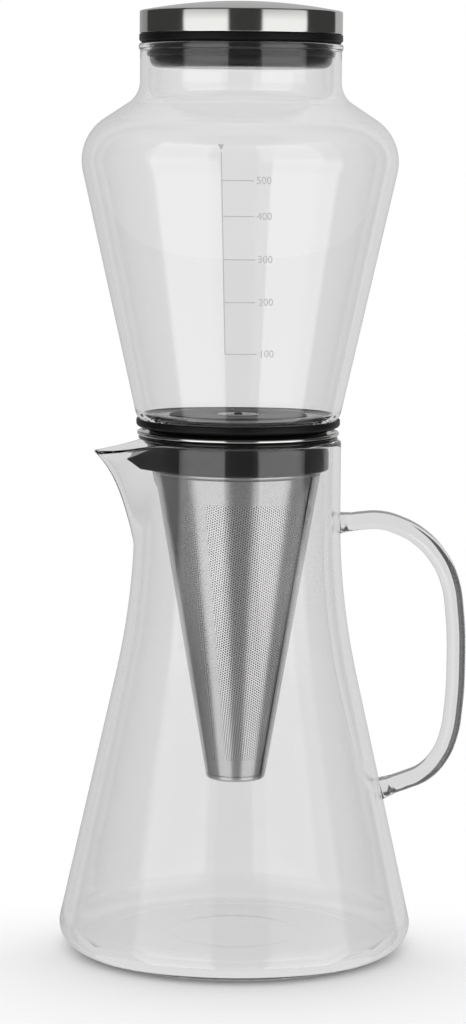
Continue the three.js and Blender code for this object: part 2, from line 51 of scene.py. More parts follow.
def add_object(name, data):
    made = bpy.data.objects.new(name, data)
    bpy.context.collection.objects.link(made)
    return made


# Camera: stands 1.17 m in front of the maker, a little above its middle, and looks slightly down. It is
# rolled by the half degree that the maker leans in the photograph.
CAMERA_LENS = 114.26
CAMERA_AT = (-0.0016, -1.17, 0.2992)  # metres
CAMERA_DOWN = 6.84  # degrees
CAMERA_ROLL = 0.45  # degrees
BOUNCES = 32  # enough for light to get through both glasses and along the solid rod

camera = bpy.data.cameras.new("camera")
camera.lens = CAMERA_LENS
camera_stand = add_object("camera", camera)
camera_stand.matrix_world = (
    Matrix.Translation(CAMERA_AT)
    @ Matrix.Rotation(math.radians(90 - CAMERA_DOWN), 4, "X")
    @ Matrix.Rotation(math.radians(CAMERA_ROLL), 4, "Z")
)
bpy.context.scene.camera = camera_stand
bpy.context.scene.cycles.max_bounces = BOUNCES
bpy.context.scene.cycles.glossy_bounces = BOUNCES
bpy.context.scene.cycles.transmission_bounces = BOUNCES
bpy.context.scene.cycles.transparent_max_bounces = BOUNCES
bpy.context.scene.view_settings.view_transform = "Standard"


def add_node(tree, kind, inputs=None, **settings):
    """Adds a node. inputs maps a socket's name or place to a value, or to the output that feeds it."""
    node = tree.nodes.new(kind)
    for name, value in settings.items():
        setattr(node, name, value)
    for name, value in (inputs or {}).items():
        if isinstance(value, bpy.types.NodeSocket):
            tree.links.new(value, node.inputs[name])
        else:
            node.inputs[name].default_value = value
    return node


def maths(tree, operation, *values, **settings):
    """The result of an operation on numbers and outputs."""
    inputs = dict(enumerate(values))
    return add_node(tree, "ShaderNodeMath", inputs, operation=operation, **settings).outputs[0]


def ramp(tree, value, start, end, low=0, high=1):
    """Goes from low to high while a value goes from start to end."""
    inputs = {"Value": value, "From Min": start, "From Max": end, "To Min": low, "To Max": high}
    return add_node(tree, "ShaderNodeMapRange", inputs).outputs[0]


def blend(tree, share, first, second):
    """A number that goes from a first to a second with a share, which is held between 0 and 1."""
    return add_node(tree, "ShaderNodeMix", {0: share, 2: first, 3: second}).outputs[0]


def blend_colours(tree, share, first, second):
    inputs = {0: share, 6: first, 7: second}
    return add_node(tree, "ShaderNodeMix", inputs, data_type="RGBA").outputs[2]


def blend_shaders(tree, share, first, second):
    inputs = {0: share, 1: first.outputs[0], 2: second.outputs[0]}
    return add_node(tree, "ShaderNodeMixShader", inputs)


def coordinates(tree, kind):
    """The outputs X, Y and Z of a kind of coordinates."""
    place = add_node(tree, "ShaderNodeTexCoord").outputs[kind]
    return add_node(tree, "ShaderNodeSeparateXYZ", {0: place}).outputs


def mottling(tree, scale, detail=2):
    place = add_node(tree, "ShaderNodeTexCoord").outputs["Object"]
    inputs = {"Vector": place, "Scale": scale, "Detail": detail}
    return add_node(tree, "ShaderNodeTexNoise", inputs).outputs[0]


def new_material(name):
    """A material with its nodes, and the shader among them."""
    material = bpy.data.materials.new(name)
    material.use_nodes = True
    return material, material.node_tree, material.node_tree.nodes["Principled BSDF"]


def linear(hex_colour):
    """The linear colour of an sRGB hex colour."""
    channels = [int(hex_colour[i : i + 2], 16) / 255 for i in (0, 2, 4)]
    return (*(c / 12.92 if c <= 0.04045 else ((c + 0.055) / 1.055) ** 2.4 for c in channels), 1)


# Studio: a white sweep of paper behind the maker and two tall softboxes beside the camera, with unlit
# room between them. Gloss shows the softboxes, glass shows the white paper, and plain light comes evenly.
# A dark card to the left of the paper draws the shaded edge of the glass handle.
# Lights are shares of white. Azimuths go from the camera towards the handle and elevations from level
# upwards, in degrees; a pair of them says where something starts and ends.
SOFT_EDGE = 3  # of everything in the studio
SOFTBOXES = ((-13, -70, -48, 41), (22, 81, -48, 41))  # azimuths and elevations
SOFTBOX_LIGHT = 1.5
SOFTBOX_TOP_LIGHT = 0.6
SOFTBOX_FADE = (0, 12)
SOFTBOX_FOOT_LIGHT = 0.8  # how much more comes from low down, on what isn't behind glass
SOFTBOX_FOOT = (-14, -30)
PAPER_FROM = 132
PAPER_LIGHT = 0.5
PAPER_LIGHT_RIGHT = 0.2  # how much brighter it is towards the right
PAPER_IN_GLASS = 0.8
PAPER_THROUGH_ROD = 0.8
PAPER_THROUGH_MIRRORS = 0.72
ROOM_LIGHT = 0.065
ROOM_THROUGH_ROD = 0.4
LOW_ROOM = (-18, -30)
LOW_ROOM_LIGHT = 0.4  # in the glass, where the room is lit by the table
TABLE_BELOW = -36
TABLE_LIGHT = 0.8
CARD = (-90, -173)
CARD_HEIGHT = (-30, 60)
CARD_LIGHT = 0.08
LOW_CARD = (-180, -40)
LOW_CARD_LIGHT = 0.3
MATT_LIGHT = 1.06
BACK_LIGHT = 0.35  # how much more of it comes from behind
SHADE_LIGHT = 0.3  # how much of it comes through glass
FIRST_WALL = (2, 1.5)  # a wall's two surfaces, and how many more or fewer still count as one wall
MIRRORED_TWICE = 1.5

world = bpy.data.worlds.new("studio")
world.use_nodes = True
world.cycles.sampling_method = "NONE"  # its light depends on the ray, so it can't be sampled beforehand
bpy.context.scene.world = world
studio = world.node_tree
studio.nodes.clear()
towards = coordinates(studio, "Generated")
towards_camera = maths(studio, "MULTIPLY", towards["Y"], -1)
azimuth = maths(studio, "DEGREES", maths(studio, "ARCTAN2", towards["X"], towards_camera))
elevation = maths(studio, "DEGREES", maths(studio, "ARCSINE", towards["Z"]))


def between(value, low, high):
    """1 where value lies between two angles, with a soft edge."""
    off = maths(studio, "ABSOLUTE", maths(studio, "SUBTRACT", value, (low + high) / 2))
    inside = maths(studio, "SUBTRACT", abs(high - low) / 2, off)
    return maths(studio, "MULTIPLY", inside, 1 / SOFT_EDGE, use_clamp=True)


ray = add_node(studio, "ShaderNodeLightPath")
in_glass = ray.outputs["Transmission Depth"]
in_air = maths(studio, "SUBTRACT", 1, in_glass, use_clamp=True)
past_wall = maths(studio, "COMPARE", in_glass, *FIRST_WALL)

paper_light = maths(studio, "MULTIPLY_ADD", towards["X"], PAPER_LIGHT_RIGHT, PAPER_LIGHT)
paper_light = blend(studio, in_glass, paper_light, PAPER_IN_GLASS)
behind = maths(studio, "MAXIMUM", between(azimuth, PAPER_FROM, 360), between(azimuth, -PAPER_FROM, -360))
gloss = maths(studio, "MULTIPLY", behind, paper_light)
below = maths(studio, "MULTIPLY", between(elevation, TABLE_BELOW, -180), TABLE_LIGHT)
gloss = maths(studio, "MAXIMUM", gloss, below)

box_light = ramp(studio, elevation, *SOFTBOX_FADE, SOFTBOX_LIGHT, SOFTBOX_TOP_LIGHT)
foot_light = ramp(studio, elevation, *SOFTBOX_FOOT, 0, SOFTBOX_FOOT_LIGHT)
box_light = maths(studio, "MULTIPLY_ADD", foot_light, in_air, box_light)
for first, last, low, high in SOFTBOXES:
    box = maths(studio, "MULTIPLY", between(azimuth, first, last), between(elevation, low, high))
    gloss = maths(studio, "ADD", gloss, maths(studio, "MULTIPLY", box, box_light))

low_room = ramp(studio, elevation, *LOW_ROOM, ROOM_LIGHT, LOW_ROOM_LIGHT)
room_light = blend(studio, in_glass, ROOM_LIGHT, low_room)
room_light = blend(studio, past_wall, room_light, ROOM_THROUGH_ROD)
gloss = maths(studio, "MAXIMUM", gloss, room_light)

card = maths(studio, "MULTIPLY", between(azimuth, *CARD), between(elevation, *CARD_HEIGHT))
card = maths(studio, "MULTIPLY", card, PAPER_THROUGH_ROD - CARD_LIGHT)
low_card = maths(studio, "MULTIPLY", between(elevation, *LOW_CARD), PAPER_THROUGH_ROD - LOW_CARD_LIGHT)
through_rod = maths(studio, "SUBTRACT", PAPER_THROUGH_ROD, maths(studio, "MAXIMUM", card, low_card))
direct = blend(studio, past_wall, 1, through_rod)

mirrored = ray.outputs["Glossy Depth"]
twice = maths(studio, "GREATER_THAN", mirrored, MIRRORED_TWICE)
strength = blend(studio, mirrored, direct, gloss)
strength = blend(studio, twice, strength, PAPER_THROUGH_MIRRORS)

# Matt faces are lit more from behind, and less through the glass, which gives the glass its soft shadow
matt_light = maths(studio, "MULTIPLY_ADD", towards["Y"], BACK_LIGHT, MATT_LIGHT)
shaded = blend(studio, in_glass, matt_light, maths(studio, "MULTIPLY", matt_light, SHADE_LIGHT))
strength = blend(studio, ray.outputs["Diffuse Depth"], strength, shaded)
backdrop = add_node(studio, "ShaderNodeBackground", {"Color": WHITE, "Strength": strength})
add_node(studio, "ShaderNodeOutputWorld", {"Surface": backdrop.outputs[0]})

# Table: the white paper that the maker stands on. Behind the maker its white comes from the paper itself,
# and in front it comes from the light that reaches it, so that the soft shadow falls towards the camera.
# Seen through the glass it glows dimmer near the maker, as painted shade. Its lengths are in metres.
PAPER_SIZE = 6
PAPER_GLOW_FRONT = 0.05
PAPER_GLOW_BACK = 0.95
GLOW_CHANGES = (-0.03, 0.05)  # depths, from front to back
PAPER_GLOW_UNDER = 0.86  # painted shade: seen through the glass, the paper glows dimmer under the maker and just behind it
GLOW_RISES = ((0.1, 0.6, 0.04), (0.6, 2.3, 0.05))  # from and to these depths its glow rises by so much
TABLE_DROP = 0.0001  # clear of the carafe's foot

paper, tree, _ = new_material("white backdrop paper")
tree.nodes.clear()
path = add_node(tree, "ShaderNodeLightPath")
depth = coordinates(tree, "Object")["Y"]
glow_seen = ramp(tree, depth, *GLOW_CHANGES, PAPER_GLOW_FRONT, PAPER_GLOW_BACK)
glow_seen = maths(tree, "MULTIPLY", glow_seen, path.outputs["Is Camera Ray"])
glow_under = PAPER_GLOW_UNDER
for near, far, rise in GLOW_RISES:
    glow_under = maths(tree, "ADD", ramp(tree, depth, near, far, 0, rise), glow_under)
glow_through = maths(tree, "MULTIPLY", path.outputs["Is Transmission Ray"], glow_under)
glowing = maths(tree, "MAXIMUM", glow_seen, glow_through)
matt = add_node(tree, "ShaderNodeBsdfDiffuse", {"Color": WHITE})
glow = add_node(tree, "ShaderNodeEmission", {"Color": WHITE})
seen = blend_shaders(tree, glowing, matt, glow)
# What is mirrored, or seen past a first wall of glass, is the studio and not the table
unseen = maths(tree, "COMPARE", path.outputs["Transmission Depth"], *FIRST_WALL)
unseen = maths(tree, "MAXIMUM", path.outputs["Glossy Depth"], unseen)
seen = blend_shaders(tree, unseen, seen, add_node(tree, "ShaderNodeBsdfTransparent"))
add_node(tree, "ShaderNodeOutputMaterial", {"Surface": seen.outputs[0]})

sheet = bmesh.new()
bmesh.ops.create_grid(sheet, x_segments=1, y_segments=1, size=PAPER_SIZE)
bmesh.ops.translate(sheet, vec=(0, 0, -TABLE_DROP), verts=sheet.verts)
table_mesh = bpy.data.meshes.new("table")
sheet.to_mesh(table_mesh)
sheet.free()
table_mesh.materials.append(paper)
add_object("table", table_mesh)

# What the pieces share. SAG is how far a flat may cut into a rounding.
SAG = 0.006
MOST_SAG = 0.2  # as a share of the rounding
MOST_ROOM = 0.98  # share of a flat that a rounding may take up
WELD = MM / 500
GAP = 0.2  # between pieces that fit together
EDGE = 0.3  # the rounding of a small edge


def span(node):
    """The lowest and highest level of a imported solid, in millimetres."""
    low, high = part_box(node)
    return low.z / MM, high.z / MM


def lerp(a, b, share):
    return a + (b - a) * share


def rounded(corners):
    """The points of an outline given as corners (radius, height, rounding), with arcs at the roundings."""
    points = []
    for i, (r, z, *bend) in enumerate(corners):
        at = Vector((r, z))
        if not bend:
            points.append(at)
            continue
        back = Vector(corners[i - 1][:2]) - at
        on = Vector(corners[(i + 1) % len(corners)][:2]) - at
        room = MOST_ROOM * min(back.length, on.length)
        back.normalize()
        on.normalize()
        turn = math.pi - back.angle(on)
        radius = min(bend[0], room / math.tan(turn / 2))
        start = at + back * radius * math.tan(turn / 2)
        centre = at + (back + on).normalized() * radius / math.cos(turn / 2)
        steps = math.ceil(turn / (2 * math.acos(1 - min(SAG / radius, MOST_SAG))))
        side = math.copysign(1, back.cross(on))
        for k in range(steps + 1):
            swing = Matrix.Rotation(-side * turn * k / steps, 2)
            points.append(centre + swing @ (start - centre))
    return points


def turned(corners, steps=128, loop=False, longest=None):
    """A mesh turned round the Z axis from an outline of corners, whose flats may have a longest length."""
    shape = bmesh.new()
    points = rounded(corners)
    if loop:
        points.append(points[0])
    last = shape.verts.new((points[0].x * MM, 0, points[0].y * MM))
    for start, end in zip(points, points[1:]):
        cuts = math.ceil((end - start).length / longest) if longest else 1
        for k in range(1, cuts + 1):
            at = start.lerp(end, k / cuts)
            vert = shape.verts.new((at.x * MM, 0, at.y * MM))
            shape.edges.new((last, vert))
            last = vert
    bmesh.ops.spin(
        shape,
        geom=shape.verts[:] + shape.edges[:],
        axis=(0, 0, 1),
        cent=(0, 0, 0),
        angle=2 * math.pi,
        steps=steps,
        use_merge=True,
    )
    bmesh.ops.remove_doubles(shape, verts=shape.verts, dist=WELD)
    bmesh.ops.recalc_face_normals(shape, faces=shape.faces)
    return shape


def extrude(shape, faces):
    """Draws faces out of a mesh, and returns their corners, which still lie where they were."""
    drawn = bmesh.ops.extrude_face_region(shape, geom=faces)["geom"]
    return [v for v in drawn if isinstance(v, bmesh.types.BMVert)]


def bevel(shape, edges, offset, segments):
    bmesh.ops.bevel(
        shape,
        geom=edges,
        offset=offset * MM,
        affect="EDGES",
        segments=segments,
        profile=0.5,
        material=-1,
    )


def join(shape, other):
    """Moves all of another mesh into a mesh."""
    carrier = bpy.data.meshes.new("carrier")
    other.to_mesh(carrier)
    other.free()
    shape.from_mesh(carrier)
    bpy.data.meshes.remove(carrier)


def smooth(shape, sharp=32):
    """Shades a mesh smooth, with sharp edges where its faces meet at more than some degrees."""
    for face in shape.faces:
        face.smooth = True
    for edge in shape.edges:
        edge.smooth = edge.is_manifold and edge.calc_face_angle() < math.radians(sharp)


def mesh_of(thing):
    """A mesh of what a curve, a text or an object with modifiers comes to."""
    bpy.context.view_layer.update()
    return bpy.data.meshes.new_from_object(thing.evaluated_get(bpy.context.evaluated_depsgraph_get()))


def piece(name, shape, material, slot, body, *nodes):
    """Makes a finished piece of a mesh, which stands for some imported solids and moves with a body."""
    smooth(shape)
    mesh = bpy.data.meshes.new(name)
    shape.to_mesh(mesh)
    shape.free()
    mesh.materials.append(material)
    made = add_object(name, mesh)
    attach(made, body)
    if nodes:
        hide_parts(*nodes)
    return made


# Carafe: blown borosilicate glass, about 2 mm thick, with a fire-polished rim that is drawn out to a
# spout. The rod handle is bent from solid glass and fused on at both ends.
CARAFE_WALL = 2.2
CARAFE_FLOOR = 2.6
CARAFE_FOOT_R, CARAFE_FOOT_ROUND, CARAFE_INNER_ROUND = 66.2, 8, 6.8
CARAFE_NECK_R, CARAFE_THROAT, CARAFE_THROAT_ROUND = 37.3, 128.8, 270
CARAFE_KICK = 1.2  # how far the middle of the foot is pushed up
KICK_INNER, KICK_INNER_ROUND = 0.35, 40  # where that is level, as a share of the foot
KICK_OUTER, KICK_OUTER_ROUND = 0.72, 6  # where it starts
SPOUT_REACH = 15.2
SPOUT_LENGTH = 38
SPOUT_DROP = 4.2
SPOUT_BOW = 0.35
SPOUT_SPREAD = math.radians(46)
SPOUT_TIP = math.radians(5)
HANDLE_ROD_R = 3.45
HANDLE_REACH = 80.1
HANDLE_LOW = 58.09
HANDLE_HIGH = 155.69
HANDLE_STEPS = 10
HANDLE_SHARP = 60  # degrees
# Along the rod: out towards its reach, up between its joints, and its thickness as a share
HANDLE_ROUTE = (
    (-0.025, 0.995, 1.18),
    (0.02, 0.997, 1.11),
    (0.06, 0.999, 1.04),
    (0.1, 1, 1),
    (0.17, 1.004, 1),
    (0.34, 1.007, 1),
    (0.5, 0.988, 1),
    (0.68, 0.944, 1),
    (0.83, 0.875, 1),
    (0.933, 0.786, 1),
    (0.984, 0.656, 1),
    (1, 0.48, 1),
    (0.984, 0.306, 1),
    (0.946, 0.199, 1),
    (0.869, 0.12, 1),
    (0.741, 0.059, 1),
    (0.577, 0.026, 1),
    (0.48, 0.011, 1),
    (0.45, 0.006, 1.04),
    (0.42, 0.001, 1.12),
    (0.35, -0.01, 1.2),
)

# Borosilicate glass, blown and fire-polished: smooth and clear, faintly grey where it is looked through
clear_glass, tree, _ = new_material("borosilicate glass, fire-polished")
tree.nodes.clear()
wall = add_node(
    tree,
    "ShaderNodeBsdfPrincipled",
    {
        "Base Color": linear("f3f3f3"),
        "Roughness": 0.0,
        "IOR": 1.47,
        "Transmission Weight": 1.0,
    },
)
unlit = add_node(tree, "ShaderNodeBsdfTransparent", {"Color": linear("f4f4f4")})
path = add_node(tree, "ShaderNodeLightPath")
glass = blend_shaders(tree, path.outputs["Is Shadow Ray"], wall, unlit)
add_node(tree, "ShaderNodeOutputMaterial", {"Surface": glass.outputs[0]})

carafe_top = span("carafe_glass")[1]
cone_slope = (CARAFE_FOOT_R - CARAFE_NECK_R) / CARAFE_THROAT
cone_thick = CARAFE_WALL * math.hypot(1, cone_slope)
inner_neck_r = CARAFE_NECK_R - CARAFE_WALL
inner_throat = (CARAFE_FOOT_R - cone_thick - inner_neck_r) / cone_slope
floor_r = CARAFE_FOOT_R - cone_thick - CARAFE_FLOOR * cone_slope
carafe = turned(
    (
        (0, CARAFE_KICK),
        (CARAFE_FOOT_R * KICK_INNER, CARAFE_KICK, KICK_INNER_ROUND),
        (CARAFE_FOOT_R * KICK_OUTER, 0, KICK_OUTER_ROUND),
        (CARAFE_FOOT_R, 0, CARAFE_FOOT_ROUND),
        (CARAFE_NECK_R, CARAFE_THROAT, CARAFE_THROAT_ROUND),
        (CARAFE_NECK_R, carafe_top, CARAFE_WALL / 2),
        (inner_neck_r, carafe_top, CARAFE_WALL / 2),
        (inner_neck_r, inner_throat, CARAFE_THROAT_ROUND + CARAFE_WALL),
        (floor_r, CARAFE_FLOOR, CARAFE_INNER_ROUND),
        (CARAFE_FOOT_R * KICK_OUTER, CARAFE_FLOOR, KICK_OUTER_ROUND),
        (CARAFE_FOOT_R * KICK_INNER, CARAFE_FLOOR + CARAFE_KICK, KICK_INNER_ROUND),
        (0, CARAFE_FLOOR + CARAFE_KICK),
    ),
    steps=192,
    longest=1.6,
)
# On the -X side the neck swells out to the spout, and the rim drops towards its tip
for vert in carafe.verts:
    radius, height = Vector(vert.co[:2]).length / MM, vert.co.z / MM
    rise = (height - carafe_top + SPOUT_LENGTH) / SPOUT_LENGTH
    if rise <= 0:
        continue
    turn = abs(math.atan2(vert.co.y, -vert.co.x))
    out = SPOUT_REACH * ((1 - SPOUT_BOW) * rise + SPOUT_BOW * rise**4)
    wall_turn = math.acos(CARAFE_NECK_R / (CARAFE_NECK_R + out))
    eased = math.hypot(turn, SPOUT_TIP) - SPOUT_TIP
    if eased < wall_turn:
        grown = radius + CARAFE_NECK_R / math.cos(wall_turn - eased) - CARAFE_NECK_R
        vert.co.x *= grown / radius
        vert.co.y *= grown / radius
    ease = min(turn / SPOUT_SPREAD, 1)
    vert.co.z -= SPOUT_DROP * MM * rise**2 * (1 - ease * ease * (3 - 2 * ease))

route = bpy.data.curves.new("handle_route", "CURVE")
route.dimensions = "3D"
route.bevel_depth = HANDLE_ROD_R * MM
route.bevel_resolution = HANDLE_STEPS
route.resolution_u = HANDLE_STEPS
route.use_fill_caps = True
rod = route.splines.new("BEZIER")
rod.bezier_points.add(len(HANDLE_ROUTE) - 1)
for point, (out, up, thick) in zip(rod.bezier_points, HANDLE_ROUTE):
    x = lerp(CARAFE_NECK_R, HANDLE_REACH, out)
    point.co = Vector((x, 0, lerp(HANDLE_LOW, HANDLE_HIGH, up))) * MM
    point.radius = thick
    point.handle_left_type = point.handle_right_type = "AUTO"
handle = add_object("handle_route", route)
blown = piece(
    "carafe_body", carafe, clear_glass, "clear_glass", "carafe", "carafe_glass", "carafe_handle"
)
rod_mesh = mesh_of(handle)
rod_object = add_object("handle_rod", rod_mesh)
fuse = blown.modifiers.new("fuse", "BOOLEAN")
fuse.operation = "UNION"
fuse.object = rod_object
fuse.solver = "EXACT"
fused = mesh_of(blown)
blown.modifiers.clear()
for leftover in (rod_object, handle):
    bpy.data.objects.remove(leftover)
bpy.data.curves.remove(route)
bpy.data.meshes.remove(rod_mesh)
shape = bmesh.new()
shape.from_mesh(fused)
bmesh.ops.remove_doubles(shape, verts=shape.verts, dist=WELD)
smooth(shape, HANDLE_SHARP)
shape.to_mesh(fused)
shape.free()
blown.data = fused

# Filter holder: a black moulded ring that hangs by its flange on the carafe's rim. Its beak reaches into
# the spout, so that the brew can be poured with the holder in place.
HOLDER_FLANGE, HOLDER_FLANGE_R = 1.5, 36
HOLDER_STEP, HOLDER_STEP_R = 1.5, 34
HOLDER_R, HOLDER_ROUND = 32.9, 0.6
HOLDER_BORE, HOLDER_BORE_R = 10.5, 31.1
HOLDER_DRAFT = 0.25  # how much narrower the bore is at its lower end
BEAK_REACH = 6.6
BEAK_KNEE = 1.2
BEAK_TIP_RISE = 2.9
BEAK_BACK_RISE = 3.3
BEAK_EDGE = 0.35

# Black polypropylene, injection-moulded in a polished mould: deep black with a clear reflection
black_plastic, tree, finish = new_material("polypropylene, gloss moulded, black")
finish.inputs["Base Color"].default_value = linear("121213")
finish.inputs["Specular IOR Level"].default_value = 0.42
spread = ramp(tree, mottling(tree, 90, 3), 0, 1, 0.1, 0.2)
tree.links.new(spread, finish.inputs["Roughness"])

holder_low, holder_top = span("filter_holder")
flange_z = holder_top - HOLDER_FLANGE
step_z = flange_z - HOLDER_STEP
holder = turned(
    (
        (HOLDER_BORE_R - HOLDER_DRAFT, holder_low),
        (HOLDER_R, holder_low, HOLDER_ROUND),
        (HOLDER_R, step_z),
        (HOLDER_STEP_R, step_z, HOLDER_ROUND),
        (HOLDER_STEP_R, flange_z),
        (HOLDER_FLANGE_R, flange_z, HOLDER_FLANGE / 2),
        (HOLDER_FLANGE_R, holder_top, HOLDER_FLANGE / 2),
        (HOLDER_BORE_R + EDGE, holder_top),
        (HOLDER_BORE_R, holder_top - EDGE),
        (HOLDER_BORE_R, holder_top - HOLDER_BORE),
    ),
    loop=True,
)
tip_x = -HOLDER_R - BEAK_REACH
tip_z = holder_low + BEAK_TIP_RISE
touch = math.acos(HOLDER_R / -tip_x)
touch_x, touch_y = -HOLDER_R * math.cos(touch), HOLDER_R * math.sin(touch)
beak = bmesh.new()
plan = beak.faces.new(
    beak.verts.new((x * MM, y * MM, holder_low * MM))
    for x, y in ((tip_x, 0), (touch_x, -touch_y), (touch_x, touch_y))
)
lift = Vector((0, 0, (step_z - holder_low) * MM))
bmesh.ops.translate(beak, verts=extrude(beak, [plan]), vec=lift)
top_normal = Vector((-BEAK_BACK_RISE, 0, BEAK_REACH))
knee_normal = Vector((-BEAK_TIP_RISE, 0, BEAK_KNEE - BEAK_REACH))
for normal in (top_normal, knee_normal):
    bmesh.ops.bisect_plane(
        beak,
        geom=beak.verts[:] + beak.edges[:] + beak.faces[:],
        plane_co=(tip_x * MM, 0, tip_z * MM),
        plane_no=normal,
        clear_outer=True,
    )
    bmesh.ops.holes_fill(beak, edges=[e for e in beak.edges if e.is_boundary])
bmesh.ops.recalc_face_normals(beak, faces=beak.faces)
bevel(beak, beak.edges[:], BEAK_EDGE, 3)
join(holder, beak)
piece("holder_ring", holder, black_plastic, "black_plastic", "holder", "filter_holder")

# Cone filter: thin stainless sheet with fine drip holes, rolled to a cone and lapped along one seam. A
# flared lip with a rolled bead carries it on the holder, and a pressed cap closes its lower end.
FILTER_SHEET = 0.8
FILTER_DEPTH = 123.9
FILTER_MOUTH, FILTER_MOUTH_R = 9, 30.8
FILTER_END_R = 10.9
FILTER_CAP, FILTER_CAP_ROUND, FILTER_CAP_INNER_ROUND = 2.1, 1.2, 0.4
SEAM_TOP, SEAM_END = (60, 175), (55, 64)  # degrees from the front towards the handle, and height
SEAM_STOPS = 1.5  # short of its top
SEAM_LAP = 12  # width over which the outer sheet settles on the inner one
SEAM_PROUD, SEAM_SUNK = 0.35, 0.04
SEAM_LINE = 0.25
SEAM_LINE_EDGE = (1.3, 0.7)  # shares of its width between which it darkens
# A rolled bead with a groove under it lies just below the holder: how far down, and how far out
COLLAR = ((1.9, 0), (1.5, -0.25), (1.2, 0), (1.0, 0.35), (0.5, 0.35), (0.2, 0))
LIP_R = 36.5
LIP_BEAD_R = 0.7
LIP_COLLAR = 4  # how far down into the cone it reaches
HOLE_PITCH = 0.95
HOLE_R = 0.29
HOLE_EDGE = (1.15, 0.75)  # shares of the radius between which a hole's painted shade darkens
HOLE_ROWS = math.radians(24)  # slant of the rows
HOLES_LOW, HOLES_HIGH = 69.6, 164.3
HOLES_FROM = -41  # degrees from the front, on the spout's side
PLAIN_STRIP, PLAIN_WIDTH = -28, 4.4  # a strip without holes: its middle in degrees, and its width
PLAIN_SEAM = 1  # how far the plain sheet goes beyond the lap
ROWS_FROM = 900  # so far aside that the whole sheet lies beyond it
SATIN_METALLIC = 0.78

# Satin stainless steel sheet, cold-rolled: soft reflections over a grey haze, for which it isn't fully
# metallic
filter_steel, holes, finish = new_material("stainless steel sheet, satin, perforated")
end_low, end_high = span("filter_bottom")
lip_z = span("filter_rim")[1] - 2 * LIP_BEAD_R
cone_low, cone_high = lip_z - FILTER_DEPTH, lip_z - FILTER_MOUTH
filter_slope = (FILTER_MOUTH_R - FILTER_END_R) / (cone_high - cone_low)
apex_z = cone_low - FILTER_END_R / filter_slope
lean = math.atan(filter_slope)
place = coordinates(holes, "Object")
# The sheet is unrolled flat, and the holes lie on it in staggered rows
height = maths(holes, "MULTIPLY", place["Z"], 1 / MM)
around = maths(holes, "ARCTAN2", place["X"], maths(holes, "MULTIPLY", place["Y"], -1))
from_apex = maths(holes, "MULTIPLY", maths(holes, "SUBTRACT", height, apex_z), 1 / math.cos(lean))
unrolled = maths(holes, "MULTIPLY", around, math.sin(lean))
across = maths(holes, "MULTIPLY", from_apex, maths(holes, "SINE", unrolled))
along = maths(holes, "MULTIPLY", from_apex, maths(holes, "COSINE", unrolled))


def along_line(start, way):
    """How far places on the flat sheet lie from a start, measured along a direction."""
    aside = maths(holes, "MULTIPLY", maths(holes, "SUBTRACT", across, start[0]), way[0])
    ahead = maths(holes, "MULTIPLY", maths(holes, "SUBTRACT", along, start[1]), way[1])
    return maths(holes, "ADD", aside, ahead)


def on_sheet(turn, level):
    """Where a place on the cone, at a turn in degrees and a height, lies on the flat sheet."""
    swing = math.radians(turn) * math.sin(lean)
    return Vector((math.sin(swing), math.cos(swing))) * (level - apex_z) / math.cos(lean)


on_row = along_line((-ROWS_FROM, 0), (math.cos(HOLE_ROWS), math.sin(HOLE_ROWS)))
over_row = along_line((ROWS_FROM, 0), (-math.sin(HOLE_ROWS), math.cos(HOLE_ROWS)))
row_pitch = HOLE_PITCH * math.sqrt(3)
off_holes = []
for shift in (0, 0.5):
    sideways = maths(holes, "ADD", on_row, shift * HOLE_PITCH)
    upwards = maths(holes, "ADD", over_row, shift * row_pitch)
    sideways = maths(holes, "PINGPONG", sideways, HOLE_PITCH / 2)
    upwards = maths(holes, "PINGPONG", upwards, row_pitch / 2)
    squares = (maths(holes, "POWER", sideways, 2), maths(holes, "POWER", upwards, 2))
    off_holes.append(maths(holes, "SQRT", maths(holes, "ADD", *squares)))
nearest = maths(holes, "MINIMUM", *off_holes)

seam_end = on_sheet(*SEAM_END)
seam_way = (on_sheet(*SEAM_TOP) - seam_end).normalized()
seam_aside = Vector((seam_way.y, -seam_way.x))
past_seam = along_line(seam_end, seam_aside)
off_lap = maths(holes, "ABSOLUTE", maths(holes, "SUBTRACT", past_seam, SEAM_LAP / 2))
strip_way = on_sheet(PLAIN_STRIP, HOLES_HIGH).normalized()
off_strip = maths(holes, "ABSOLUTE", along_line((0, 0), (strip_way.y, -strip_way.x)))
open_here = maths(holes, "GREATER_THAN", height, HOLES_LOW)
for limit in (
    maths(holes, "LESS_THAN", height, HOLES_HIGH),
    maths(holes, "GREATER_THAN", maths(holes, "DEGREES", around), HOLES_FROM),
    maths(holes, "GREATER_THAN", off_strip, PLAIN_WIDTH / 2),
    maths(holes, "GREATER_THAN", off_lap, SEAM_LAP / 2 + PLAIN_SEAM),
):
    open_here = maths(holes, "MULTIPLY", open_here, limit)
# Painted shade: each drip hole is a dark dot painted on the sheet, standing for the shaded inside of the
# cone seen through it; no hole is cut
hole = ramp(holes, nearest, *(HOLE_R * share for share in HOLE_EDGE))
hole = maths(holes, "MULTIPLY", hole, open_here)
# A dark line of shade lies along the outer sheet's cut edge
off_line = maths(holes, "ABSOLUTE", maths(holes, "ADD", past_seam, SEAM_LINE / 2))
seam_line = ramp(holes, off_line, *(SEAM_LINE * share for share in SEAM_LINE_EDGE))
under_top = maths(holes, "LESS_THAN", height, SEAM_TOP[1] - SEAM_STOPS)
seam_line = maths(holes, "MULTIPLY", seam_line, under_top)
